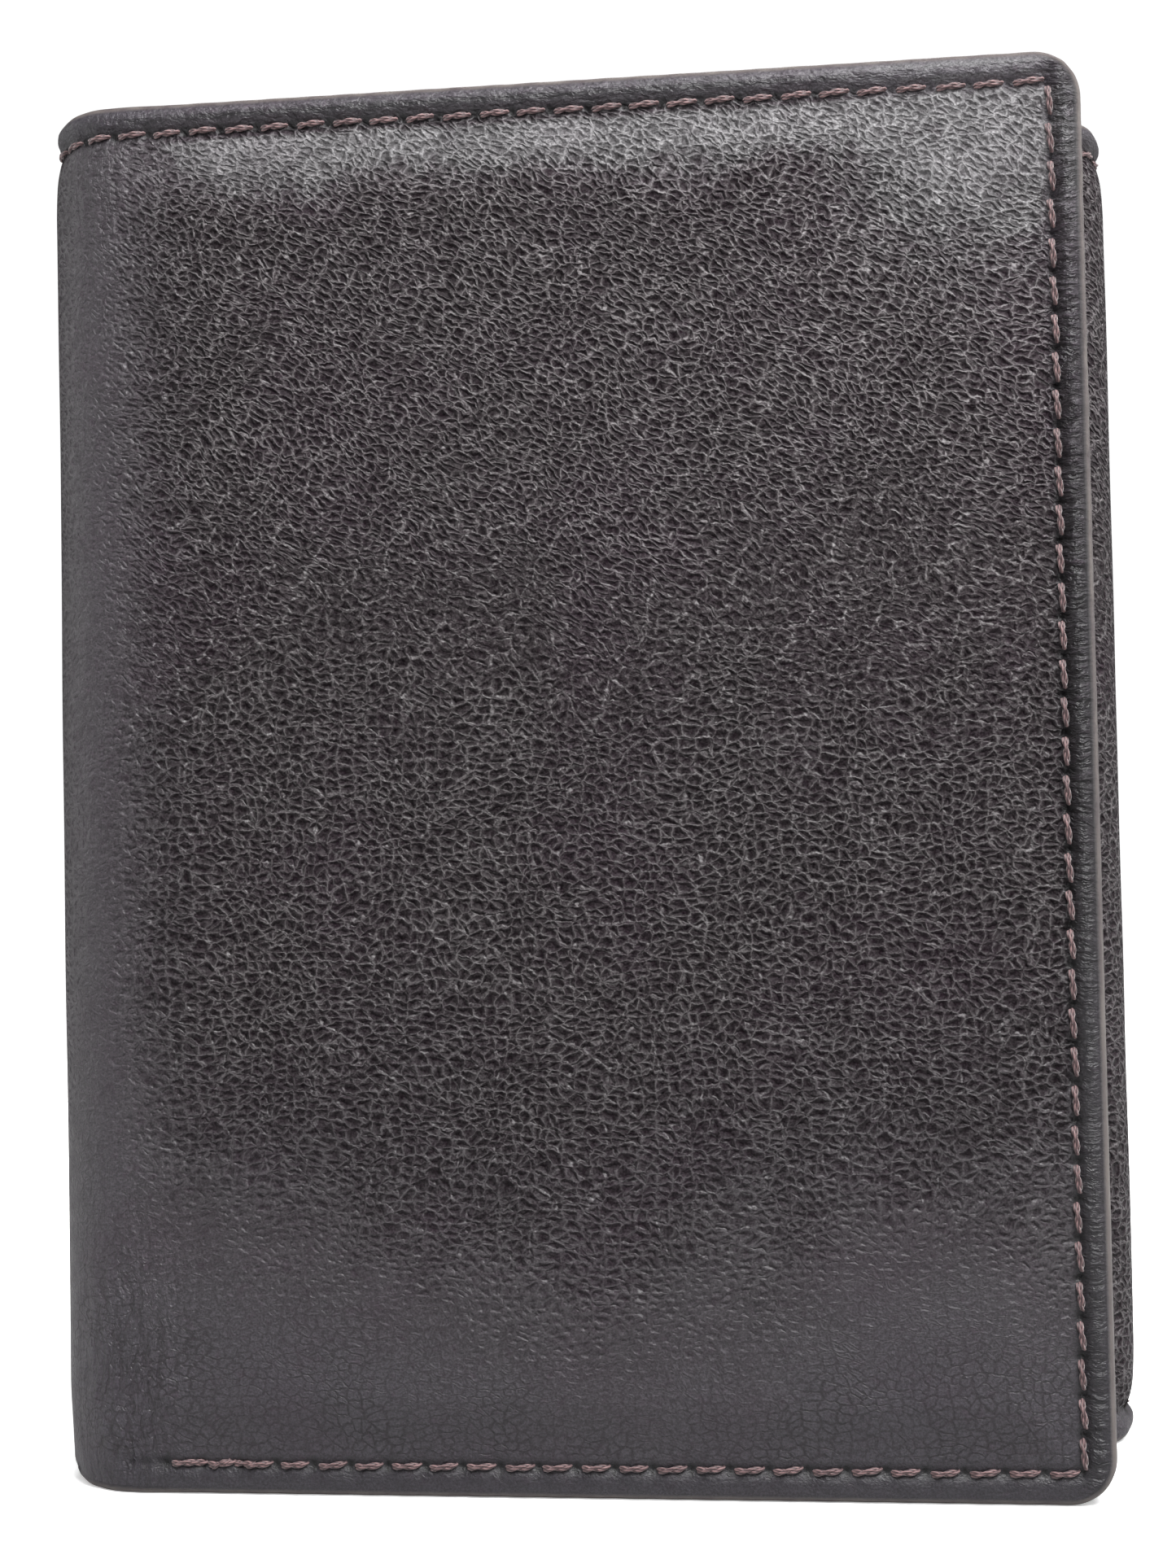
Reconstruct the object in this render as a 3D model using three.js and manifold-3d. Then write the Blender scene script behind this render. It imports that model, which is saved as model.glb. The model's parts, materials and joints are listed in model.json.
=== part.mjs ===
// Trifold wallet, closed and standing on its short edge, in millimetres.
// +X runs along the width, +Y points out of the back, +Z is up.
// The origin is the middle of the back leather's bottom edge, half way through the leather.
//
// The wallet is one strip of leather folded in a C. The middle leaf is flat at the back, the inner leaf
// folds in from the right, and the front leaf folds over it from the left. A fold is a chain of narrow
// staves that hinge on each other, because a leather bend turns a little along its whole arc.
import * as THREE from "three";
import { mergeVertices } from "three/addons/utils/BufferGeometryUtils.js";
import Module from "manifold-3d";

// Overall sizes
const HEIGHT = 108;
const WIDTH = 86; // over both folds
const LEFT_FOLD_DEPTH = 13.4; // outer face to outer face, at the left fold
const RIGHT_FOLD_DEPTH = 9.4;
const FRONT_AJAR = 10; // degrees the relaxed front leaf stands away from parallel
const INNER_AJAR = 4;
const FRONT_SETBACK = 7; // from the right fold's outermost line back to the front leaf's free edge
const INNER_REACH = 46; // the inner leaf's length from its fold to its free edge
const CORNER = 3.5; // radius of the leaves' free corners

// Folds
const FOLD_HINGES = 3; // hinge lines in each fold, with a stave between each two
const LEATHER = 1.2; // the shell leather with its turned edge
const FOLD_LINING = 0.3;
const LAYER_GAP = 0.1; // air between neighbouring layers
const HINGE_LINE_Y = -LEATHER / 2; // the inner face of the back leather
const STAVE_GAP = 0.1; // from a hinge line to the leather on each side
const LINING_TRIM = 0.35; // from a hinge line to the lining, which sits on the inside of the bend

// Seams
const SEAM_INSET = 2.4;
const SEAM_CORNER = 2.5; // radius of the seam's turns at the free corners
const GROOVE_WIDTH = 0.9;
const GROOVE_DEPTH = 0.45;
const THREAD_WIDTH = 0.5;
const THREAD_SINK = 0.05; // how far the thread's face lies below the leather's
const THREAD_THICKNESS = 0.3;
const OVERCUT = 1; // how far a cutting tool runs past what it cuts

// Layers inside the leaves
const FOLD_MARGIN = 3; // inner layers stop this far from a fold
const EDGE_MARGIN = 0.8; // and this far inside the shell's outline
const PAD_MARGIN = 4.5; // padding and stiffeners stay inside the seams
const PANEL_SETBACK = 1; // card slots, slip pocket and middle stiffener stop this much further from a fold
const PADDING = 0.7;
const STIFFENER = 0.5;
const DIVIDER = 0.2; // cloth that splits the bill compartment
const POCKET_LEATHER = 0.4;
const WALL_DROP = 7; // the bill compartment's inner wall is this much lower than the shell
const DIVIDER_TOP = HEIGHT - 2 * WALL_DROP;
const BILL_SPACE = 0.5; // air on each side of the divider in the middle leaf's bill compartment
const FLAT_BILL_SPACE = 0.2; // the same in the front and inner leaves
const SLOT_TOPS = [86, 74, 62]; // heights of the card slots' mouths, rear slot first
const SLOT_THICKNESS = 0.3;
const POCKET_TOP = 70;
const WINDOW_WIDTH = 56;
const WINDOW_HEIGHT = 84;
const WINDOW_BORDER = 8;
const WINDOW_RAISE = 3; // from the bottom of the padding's outline to the bottom of the window's frame
const WINDOW_SHEET = 0.2;
const WINDOW_FRAME = 0.5;
const SHEET_TUCK = 2; // the clear sheet ends this far inside the frame's outline
const ARC_SEGMENTS = 5; // straight pieces in each rounded corner

const wasm = await Module();
wasm.setup();

const material = (color, roughness, extra = {}) =>
  new THREE.MeshStandardMaterial({ color, roughness, metalness: 0, ...extra });
const shellLeather = () => material(0x40373a, 0.5);
const innerLeather = () => material(0x382f31, 0.6);
const liningFabric = () => material(0x2a2426, 0.85);
const stiffener = () => material(0x5a5552, 0.9);
const seamThread = () => material(0x7c5658, 0.7);
const clearPlastic = () => material(0xdde4e6, 0.15, { transparent: true, opacity: 0.35 });

// Solids ---------------------------------------------------------------------------------------------

function solidFrom(geometry) {
  const bare = geometry.clone();
  bare.deleteAttribute("normal");
  bare.deleteAttribute("uv");
  const merged = mergeVertices(bare);
  const vertProperties = merged.attributes.position.array;
  const triVerts = new Uint32Array(merged.index.array);
  return new wasm.Manifold(new wasm.Mesh({ numProp: 3, vertProperties, triVerts }));
}

function cut(geometry, tools) {
  const solid = tools.reduce((left, tool) => left.subtract(solidFrom(tool)), solidFrom(geometry));
  const { vertProperties, triVerts } = solid.getMesh();
  const result = new THREE.BufferGeometry();
  result.setAttribute("position", new THREE.BufferAttribute(vertProperties, 3));
  result.setIndex(new THREE.BufferAttribute(triVerts, 1));
  result.computeVertexNormals();
  return result;
}

// A rectangle whose corners at the x1 end are rounded, and those at x0 only if roundBoth is true.
function outline(x0, x1, z0, z1, radius, roundBoth = false) {
  const start = roundBoth ? radius : 0;
  const shape = new THREE.Shape();
  shape.moveTo(x0 + start, z0);
  shape.lineTo(x1 - radius, z0);
  shape.absarc(x1 - radius, z0 + radius, radius, -Math.PI / 2, 0);
  shape.lineTo(x1, z1 - radius);
  shape.absarc(x1 - radius, z1 - radius, radius, 0, Math.PI / 2);
  shape.lineTo(x0 + start, z1);
  if (roundBoth) {
    shape.absarc(x0 + radius, z1 - radius, radius, Math.PI / 2, Math.PI);
    shape.lineTo(x0, z0 + radius);
    shape.absarc(x0 + radius, z0 + radius, radius, Math.PI, 1.5 * Math.PI);
  } else {
    shape.lineTo(x0, z0);
  }
  return shape;
}

function rectangle(x0, x1, z0, z1) {
  const shape = new THREE.Shape();
  shape.moveTo(x0, z0);
  shape.lineTo(x1, z0);
  shape.lineTo(x1, z1);
  shape.lineTo(x0, z1);
  return shape;
}

// A band that follows a leaf's bottom, free side and top, open towards the fold.
function seamLoop(x0, x1, z0, z1, radius, width) {
  const outer = radius + width / 2;
  const inner = radius - width / 2;
  const bend = x1 - radius;
  const shape = new THREE.Shape();
  shape.moveTo(x0, z0 - width / 2);
  shape.lineTo(bend, z0 - width / 2);
  shape.absarc(bend, z0 + radius, outer, -Math.PI / 2, 0);
  shape.lineTo(bend + outer, z1 - radius);
  shape.absarc(bend, z1 - radius, outer, 0, Math.PI / 2);
  shape.lineTo(x0, z1 + width / 2);
  shape.lineTo(x0, z1 - width / 2);
  shape.lineTo(bend, z1 - width / 2);
  shape.absarc(bend, z1 - radius, inner, Math.PI / 2, 0, true);
  shape.lineTo(bend + inner, z0 + radius);
  shape.absarc(bend, z0 + radius, inner, 0, -Math.PI / 2, true);
  shape.lineTo(x0, z0 + width / 2);
  return shape;
}

// Places a shape drawn in x and z as a layer between two depths below the leather's outer face.
// The frame's x axis lies at depth LEATHER, and inward is +1 or -1 along its y axis.
function layer(shape, depth0, depth1, inward) {
  const settings = { depth: depth1 - depth0, bevelEnabled: false, curveSegments: ARC_SEGMENTS };
  const geometry = new THREE.ExtrudeGeometry(shape, settings);
  geometry.rotateX(Math.PI / 2);
  const highest = inward > 0 ? depth1 - LEATHER : LEATHER - depth0;
  geometry.translate(0, highest, 0);
  return geometry;
}

// Stacks layers inwards, each one gap below the last, and returns a function that adds the next one.
function stack(group, inward, startDepth) {
  let depth = startDepth;
  return (name, finish, thickness, shape, space = LAYER_GAP) => {
    depth += space;
    addMesh(group, name, layer(shape, depth, depth + thickness, inward), finish);
    depth += thickness;
  };
}

function addMesh(group, name, geometry, finish) {
  const mesh = new THREE.Mesh(geometry, finish);
  mesh.name = name;
  group.add(mesh);
}

// Folds ----------------------------------------------------------------------------------------------

// The hinge lines of one fold, from the middle leaf outwards, on the leather's inner face: side is -1
// for the left fold and +1 for the right. Each entry has the place and the direction of what follows it.
function foldHinges(side, foldDepth, ajar) {
  const turn = THREE.MathUtils.degToRad(180 - ajar) / FOLD_HINGES;
  const radius = foldDepth / 2 - LEATHER;
  const halfStave = radius * Math.tan(turn / 2);
  const staveLength = 2 * halfStave;
  let x = side * (WIDTH / 2 - foldDepth / 2 + halfStave);
  let y = HINGE_LINE_Y;
  let angle = side < 0 ? Math.PI : 0;
  const hinges = [];
  for (let i = 0; i < FOLD_HINGES; i++) {
    angle -= side * turn;
    hinges.push({ x, y, angle, staveLength });
    x += staveLength * Math.cos(angle);
    y += staveLength * Math.sin(angle);
  }
  return hinges;
}

function groupAt({ x, y, angle }) {
  const group = new THREE.Group();
  group.position.set(x, y, 0);
  group.rotation.z = angle;
  return group;
}

function foldStaves(name, hinges, inward) {
  const liningDepth = LEATHER + LAYER_GAP;
  const staves = new THREE.Group();
  hinges.slice(0, -1).forEach((hinge, i) => {
    const group = groupAt(hinge);
    const leather = rectangle(STAVE_GAP, hinge.staveLength - STAVE_GAP, 0, HEIGHT);
    const liningEnd = hinge.staveLength - LINING_TRIM;
    const lining = rectangle(LINING_TRIM, liningEnd, EDGE_MARGIN, HEIGHT - EDGE_MARGIN);
    addMesh(group, `${name}_leather_${i + 1}`, layer(leather, 0, LEATHER, inward), shellLeather());
    addMesh(
      group,
      `${name}_lining_${i + 1}`,
      layer(lining, liningDepth, liningDepth + FOLD_LINING, inward),
      liningFabric(),
    );
    staves.add(group);
  });
  return staves;
}

// Leaves ---------------------------------------------------------------------------------------------

// The shell and thread of a leaf that starts at a fold and ends in a free edge.
function freeShell(group, name, length, inward) {
  const seam = [length - SEAM_INSET, SEAM_INSET, HEIGHT - SEAM_INSET, SEAM_CORNER];
  const shell = layer(outline(STAVE_GAP, length, 0, HEIGHT, CORNER), 0, LEATHER, inward);
  const grooveShape = seamLoop(STAVE_GAP - OVERCUT, ...seam, GROOVE_WIDTH);
  const groove = layer(grooveShape, -OVERCUT, GROOVE_DEPTH, inward);
  const threadShape = seamLoop(STAVE_GAP, ...seam, THREAD_WIDTH);
  const thread = layer(threadShape, THREAD_SINK, THREAD_SINK + THREAD_THICKNESS, inward);
  addMesh(group, `${name}_shell`, cut(shell, [groove]), shellLeather());
  addMesh(group, `${name}_seam_thread`, thread, seamThread());
}

function frontLeaf(hinges) {
  const hinge = hinges.at(-1);
  const group = groupAt(hinge);
  const length = (WIDTH / 2 - FRONT_SETBACK - hinge.x) / Math.cos(hinge.angle);
  const low = EDGE_MARGIN;
  const high = HEIGHT - EDGE_MARGIN;
  const end = length - EDGE_MARGIN;
  const padEnd = length - PAD_MARGIN;
  const radius = CORNER - EDGE_MARGIN;
  const pad = rectangle(FOLD_MARGIN, padEnd, PAD_MARGIN, HEIGHT - PAD_MARGIN);
  freeShell(group, "front", length, 1);

  const add = stack(group, 1, LEATHER);
  add("front_padding", stiffener(), PADDING, pad);
  add("front_lining", liningFabric(), FOLD_LINING, outline(FOLD_MARGIN, end, low, high, radius));
  const divider = rectangle(FOLD_MARGIN, padEnd, PAD_MARGIN, DIVIDER_TOP);
  const wall = outline(FOLD_MARGIN, end, low, HEIGHT - WALL_DROP, radius);
  add("front_bill_divider", liningFabric(), DIVIDER, divider, FLAT_BILL_SPACE);
  add("front_inner_wall", innerLeather(), POCKET_LEATHER, wall, FLAT_BILL_SPACE);
  SLOT_TOPS.forEach((top, i) => {
    const slot = rectangle(FOLD_MARGIN + PANEL_SETBACK, padEnd, PAD_MARGIN, top);
    add(`card_slot_${i + 1}`, innerLeather(), SLOT_THICKNESS, slot);
  });
  return group;
}

function middleLeaf(leftHinge, rightHinge) {
  const group = groupAt({ x: 0, y: HINGE_LINE_Y, angle: 0 });
  const x0 = leftHinge.x + STAVE_GAP;
  const x1 = rightHinge.x - STAVE_GAP;
  const inner0 = leftHinge.x + FOLD_MARGIN;
  const inner1 = rightHinge.x - FOLD_MARGIN;
  const shell = layer(rectangle(x0, x1, 0, HEIGHT), 0, LEATHER, -1);
  const seams = { bottom: SEAM_INSET, top: HEIGHT - SEAM_INSET };
  const grooves = Object.values(seams).map((z) => {
    const groove = rectangle(x0 - OVERCUT, x1 + OVERCUT, z - GROOVE_WIDTH / 2, z + GROOVE_WIDTH / 2);
    return layer(groove, -OVERCUT, GROOVE_DEPTH, -1);
  });
  addMesh(group, "middle_shell", cut(shell, grooves), shellLeather());
  for (const [edge, z] of Object.entries(seams)) {
    const strip = rectangle(x0, x1, z - THREAD_WIDTH / 2, z + THREAD_WIDTH / 2);
    const thread = layer(strip, THREAD_SINK, THREAD_SINK + THREAD_THICKNESS, -1);
    addMesh(group, `middle_${edge}_thread`, thread, seamThread());
  }

  const pad = rectangle(inner0 + PANEL_SETBACK, inner1 - PANEL_SETBACK, PAD_MARGIN, HEIGHT - PAD_MARGIN);
  const lining = rectangle(inner0, inner1, EDGE_MARGIN, HEIGHT - EDGE_MARGIN);
  const divider = rectangle(inner0, inner1, PAD_MARGIN, DIVIDER_TOP);
  const wall = rectangle(inner0, inner1, EDGE_MARGIN, HEIGHT - WALL_DROP);
  const add = stack(group, -1, LEATHER);
  add("middle_stiffener", stiffener(), STIFFENER, pad);
  add("middle_lining", liningFabric(), FOLD_LINING, lining);
  add("middle_bill_divider", liningFabric(), DIVIDER, divider, BILL_SPACE);
  add("middle_inner_wall", innerLeather(), POCKET_LEATHER, wall, BILL_SPACE);

  // The identity-card window: a clear sheet behind a leather frame
  const centre = (inner0 + inner1) / 2;
  const half = WINDOW_WIDTH / 2;
  const base = PAD_MARGIN + WINDOW_RAISE;
  const opening = outline(
    centre - half + WINDOW_BORDER,
    centre + half - WINDOW_BORDER,
    base + WINDOW_BORDER,
    base + WINDOW_HEIGHT - WINDOW_BORDER,
    CORNER,
    true,
  );
  const frame = outline(centre - half, centre + half, base, base + WINDOW_HEIGHT, CORNER, true);
  frame.holes.push(opening);
  const sheetHalf = half - SHEET_TUCK;
  const sheetTop = base + WINDOW_HEIGHT - SHEET_TUCK;
  const sheet = rectangle(centre - sheetHalf, centre + sheetHalf, base + SHEET_TUCK, sheetTop);
  add("id_window_sheet", clearPlastic(), WINDOW_SHEET, sheet);
  add("id_window_frame", innerLeather(), WINDOW_FRAME, frame);
  return group;
}

function innerLeaf(hinges) {
  const group = groupAt(hinges.at(-1));
  const end = INNER_REACH - EDGE_MARGIN;
  const padEnd = INNER_REACH - PAD_MARGIN;
  const radius = CORNER - EDGE_MARGIN;
  freeShell(group, "inner", INNER_REACH, -1);

  const add = stack(group, -1, LEATHER);
  const pad = rectangle(FOLD_MARGIN, padEnd, PAD_MARGIN, HEIGHT - PAD_MARGIN);
  add("inner_stiffener", stiffener(), STIFFENER, pad);
  const lining = outline(FOLD_MARGIN, end, EDGE_MARGIN, HEIGHT - EDGE_MARGIN, radius);
  const wall = outline(FOLD_MARGIN, end, EDGE_MARGIN, HEIGHT - WALL_DROP, radius);
  const pocket = rectangle(FOLD_MARGIN + PANEL_SETBACK, padEnd, PAD_MARGIN, POCKET_TOP);
  add("inner_lining", liningFabric(), FOLD_LINING, lining);
  add("inner_wall", innerLeather(), POCKET_LEATHER, wall, FLAT_BILL_SPACE);
  add("inner_slip_pocket", innerLeather(), POCKET_LEATHER, pocket);
  return group;
}

const leftHinges = foldHinges(-1, LEFT_FOLD_DEPTH, FRONT_AJAR);
const rightHinges = foldHinges(1, RIGHT_FOLD_DEPTH, INNER_AJAR);
const wallet = new THREE.Group();
wallet.add(middleLeaf(leftHinges[0], rightHinges[0]));
wallet.add(foldStaves("left_fold", leftHinges, 1), frontLeaf(leftHinges));
wallet.add(foldStaves("right_fold", rightHinges, -1), innerLeaf(rightHinges));
export default wallet;
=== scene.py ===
"""Looks of the trifold wallet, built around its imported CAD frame.

Lengths are in millimetres and become metres when a mesh is made. The shell leather is one strip, and most
shapes are described on it unrolled: s runs along its outer face from the middle of the back (plus towards
the right fold and the inner leaf, minus towards the left fold and the front leaf), z is up, and depth runs
from the outer face towards the inside of the wallet.
"""

import json
import math

import bpy
import numpy as np
from mathutils import Euler, Matrix, Vector


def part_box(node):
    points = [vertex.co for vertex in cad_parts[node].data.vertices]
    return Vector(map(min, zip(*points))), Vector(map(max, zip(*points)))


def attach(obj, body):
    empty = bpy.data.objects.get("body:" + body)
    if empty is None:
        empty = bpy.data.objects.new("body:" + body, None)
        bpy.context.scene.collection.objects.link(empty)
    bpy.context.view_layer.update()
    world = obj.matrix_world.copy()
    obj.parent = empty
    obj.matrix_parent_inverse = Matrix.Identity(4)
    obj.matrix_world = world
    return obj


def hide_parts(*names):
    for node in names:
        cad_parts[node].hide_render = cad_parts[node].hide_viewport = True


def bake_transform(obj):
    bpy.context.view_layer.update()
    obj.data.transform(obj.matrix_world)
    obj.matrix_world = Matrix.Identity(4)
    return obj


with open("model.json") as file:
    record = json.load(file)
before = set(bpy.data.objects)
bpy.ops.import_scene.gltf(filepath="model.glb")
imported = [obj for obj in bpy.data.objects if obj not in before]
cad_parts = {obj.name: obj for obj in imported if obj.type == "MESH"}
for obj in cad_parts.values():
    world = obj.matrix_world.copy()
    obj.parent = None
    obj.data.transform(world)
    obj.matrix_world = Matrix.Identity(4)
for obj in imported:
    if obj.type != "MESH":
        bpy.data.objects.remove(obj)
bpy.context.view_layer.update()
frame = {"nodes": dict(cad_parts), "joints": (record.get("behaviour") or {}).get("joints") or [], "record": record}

# Driving sizes -------------------------------------------------------------------------------------------

MM = 0.001
SEAM_INSET = 2.4
STITCH_PITCH = 2.9
THREAD_RADIUS = 0.24
CORNER = 3.5
RIM = 0.85  # radius of the shell's turned edge
HEM = 2.0  # thickness of the turned hem round a free leaf
HEM_WIDTH = 2.6
CROWN = 0.8  # how far the padded front stands proud of its seams
CROWN_RISE = 5.5
BACK_CROWN = 0.16  # how far the other leaves stand proud of theirs
DIVISIONS = 8  # mesh cells for each stitch
FOLD_INNERMOST = 2.5  # how deep in a fold bend() works out hinge spots, which it doesn't use
FRAY_ANGLES = (58, 74, 88, 101, 118, 133)
FRAY_LENGTHS = (1.5, 2.0, 1.7, 2.2, 1.6, 1.3)

LINING_THICKNESS = 0.3
FOLD_LINING_FACE = 1.62  # depth of the lining's inner face round a fold
CLOTH_RIM = 0.13
POCKET_RIM = 0.15
BOARD_RIM = 0.2
FRAME_RIM = 0.22
SHEET_RIM = 0.06
SHEET_THICKNESS = 0.14
WINDOW_CORNER = 2.0
DIVIDER_HEM = 2.2
MOUTH_SEAM = 1.6  # how far a pocket's seams lie from its mouth and its sides
SIDE_SEAM = 1.5
FINE_THREAD = 0.15
FINE_PITCH = 2.4

FLOOR_REACH = 4.0  # metres, as the camera's and lights' places are
CAMERA_PLACE = (-0.01076, -0.19198, 0.04827)
CAMERA_TURNS = (-3.004, 1.846, -1.143)  # yaw, pitch and roll in degrees
CAMERA_LENS = 52.48

JOINTS = {joint["name"]: joint for joint in frame["joints"]}
OUTER_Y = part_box("middle_shell")[1].y / MM
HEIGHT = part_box("middle_shell")[1].z / MM
LEATHER = OUTER_Y - JOINTS["wallet_opening"]["pos_m"][1] / MM


class Fold:
    """A rounded fold of the strip: three hinges round an arc that starts where the flat back ends."""

    def __init__(self, name, side, hinge_names, chain):
        hinges = [np.array(JOINTS[name]["pos_m"][:2]) / MM for name in hinge_names]
        stave = hinges[1] - hinges[0]
        half = np.linalg.norm(stave) / 2
        self.name = name
        self.side = side
        self.chain = chain
        self.turn = math.acos(stave[0] * side / (2 * half))
        inner_radius = half / math.tan(self.turn / 2)
        self.radius = inner_radius + LEATHER
        self.start = side * hinges[0][0] - half
        self.centre = np.array([side * self.start, hinges[0][1] - inner_radius])
        self.total = len(hinges) * self.turn
        self.end = self.start + self.radius * self.total

    def ray(self, angle):
        return np.array([self.side * math.sin(angle), math.cos(angle)])

    def span(self, number):
        """Strip limits of the piece that bends across one hinge."""
        return sorted(self.side * (self.start + self.radius * self.turn * k) for k in (number, number + 1))

    def staves(self, kind, number):
        """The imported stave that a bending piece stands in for. The last piece has none."""
        return [f"{self.name}_fold_{kind}_{number + 1}"] if number < len(self.chain) - 2 else []


LEFT = Fold("left", -1, ("wallet_opening", "left_fold_hinge_2", "left_fold_hinge_3"),
            ("middle", "left_fold_1", "left_fold_2", "front"))
RIGHT = Fold("right", 1, ("right_fold_hinge_1", "right_fold_hinge_2", "right_fold_hinge_3"),
             ("middle", "right_fold_1", "right_fold_2", "inner"))
FOLDS = (LEFT, RIGHT)


def strip_xy(s, depth):
    """Plan position of strip points."""
    s, depth = np.broadcast_arrays(np.asarray(s, float), np.asarray(depth, float))
    x, y = s.copy(), OUTER_Y - depth
    for fold in FOLDS:
        past = fold.side * s - fold.start
        angle = np.clip(past / fold.radius, 0, fold.total)
        beyond = np.maximum(past - fold.radius * fold.total, 0)
        reach = fold.radius - depth
        fold_x = fold.centre[0] + fold.side * (reach * np.sin(angle) + beyond * np.cos(angle))
        fold_y = fold.centre[1] + reach * np.cos(angle) - beyond * np.sin(angle)
        x = np.where(past > 0, fold_x, x)
        y = np.where(past > 0, fold_y, y)
    return x, y


def node_points(node):
    return np.array([v.co for v in frame["nodes"][node].data.vertices]) / MM

def leaf_span(node):
    """Lowest and highest (s, z, depth) of a CAD node, measured in its own leaf."""
    body = next(b for b, names in frame["record"]["behaviour"]["bodies"].items() if node in names)
    points = node_points(node)
    if body == "middle":
        strip = np.stack([points[:, 0], points[:, 2], OUTER_Y - points[:, 1]], 1)
    else:
        fold = {"front": LEFT, "inner": RIGHT}[body]
        out = fold.ray(fold.total)
        along = np.array([fold.side * math.cos(fold.total), -math.sin(fold.total)])
        base = fold.centre + fold.radius * out
        offset = points[:, :2] - base
        s = fold.side * (fold.end + offset @ along)
        strip = np.stack([s, points[:, 2], -(offset @ out)], 1)
    return strip.min(0), strip.max(0)


FRONT_END = leaf_span("front_shell")[0][0]
INNER_END = leaf_span("inner_shell")[1][0]
SIDE_PITCH = (HEIGHT - 2 * SEAM_INSET) / round((HEIGHT - 2 * SEAM_INSET) / STITCH_PITCH)

# Noise ---------------------------------------------------------------------------------------------------

NOISE_CELLS = 64  # cells before the noise repeats


def noise(u, v, seed):
    """Smooth value noise between -1 and 1, one cell for each unit."""
    table = np.random.default_rng(seed).uniform(-1, 1, (NOISE_CELLS, NOISE_CELLS))
    iu, iv = np.floor(u).astype(int), np.floor(v).astype(int)
    fu, fv = u - iu, v - iv
    fu, fv = fu * fu * (3 - 2 * fu), fv * fv * (3 - 2 * fv)
    a, b = iu % NOISE_CELLS, (iu + 1) % NOISE_CELLS
    c, d = iv % NOISE_CELLS, (iv + 1) % NOISE_CELLS
    low = table[a, c] * (1 - fu) + table[b, c] * fu
    high = table[a, d] * (1 - fu) + table[b, d] * fu
    return low * (1 - fv) + high * fv


def smoothstep(low, high, value):
    t = np.clip((value - low) / (high - low), 0, 1)
    return t * t * (3 - 2 * t)


def bump(value, centre, width):
    return np.exp(-(((value - centre) / width) ** 2))


# The shell's relief --------------------------------------------------------------------------------------


def edge_distance(s, z):
    """Distance from the strip's rounded outline, positive inside it."""
    half_s, half_z = (INNER_END - FRONT_END) / 2, HEIGHT / 2
    qs = np.abs(s - (INNER_END + FRONT_END) / 2) - (half_s - CORNER)
    qz = np.abs(z - half_z) - (half_z - CORNER)
    outside = np.hypot(np.maximum(qs, 0), np.maximum(qz, 0))
    return CORNER - outside - np.minimum(np.maximum(qs, qz), 0)


def on_front(s):
    """0 on the left fold and beyond it, 1 a little way on to the front leaf."""
    return smoothstep(LEFT.end - 2, LEFT.end + 9, -s)


def fold_share(s):
    """1 in the middle of either fold, 0 on the leaves."""
    share = np.zeros_like(s)
    for fold in FOLDS:
        length = fold.end - fold.start
        from_middle = np.abs(fold.side * s - (fold.start + fold.end) / 2)
        share += 1 - smoothstep(0.3 * length, 0.62 * length, from_middle)
    return share


def rumpled(z):
    """How crumpled the front leaf's free edge is: more in its upper half."""
    return 0.25 + 0.75 * smoothstep(32, 66, z)


def seam_holes():
    """Needle holes (s, z) of each seam line, in order along it."""
    side_z = np.arange(SEAM_INSET, HEIGHT - SEAM_INSET + 0.1, SIDE_PITCH)
    first, last = FRONT_END + SEAM_INSET, INNER_END - SEAM_INSET
    count = round((last - first) / STITCH_PITCH)
    along = np.linspace(first, last, count + 1)
    return along, side_z


TOP_HOLES, SIDE_HOLES = seam_holes()
TOP_PITCH = TOP_HOLES[1] - TOP_HOLES[0]
BOTTOM_START = -(LEFT.end + 1.2)  # the bottom seam leaves the left fold bare


def bottom_sewn(s):
    """0 where the left fold's bottom edge has no seam, 1 elsewhere."""
    return 1 - smoothstep(0, 2.5, s - BOTTOM_START) * smoothstep(0, 2.5, -LEFT.start + 1 - s)


def side_distance(s):
    return np.minimum(s - FRONT_END, INNER_END - s)


def seam_pattern(s, z):
    """The nearest seam's rhythm, 1 at its holes and -1 half way between them, and where it is sewn at all."""
    to_side, to_end = side_distance(s), np.minimum(z, HEIGHT - z)
    along_top = np.cos(2 * math.pi * (s - TOP_HOLES[0]) / TOP_PITCH)
    along_side = np.cos(2 * math.pi * (z - SIDE_HOLES[0]) / SIDE_PITCH)
    rhythm = np.where(to_side < to_end, along_side, along_top)
    sewn = np.where((z < HEIGHT / 2) & (to_side >= z), bottom_sewn(s), 1.0)
    return rhythm, sewn


def pull_reach(s, z):
    """Where the leather is drawn into upright creases: beside the left fold, most of all near the seams."""
    near_left = bump(-s, LEFT.end - 1 + 0.1 * z * smoothstep(40, 0, z), 4.0)
    return near_left * (0.15 + 0.4 * bump(HEIGHT - z, 5, 6) + bump(z, 9, 11))


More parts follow.
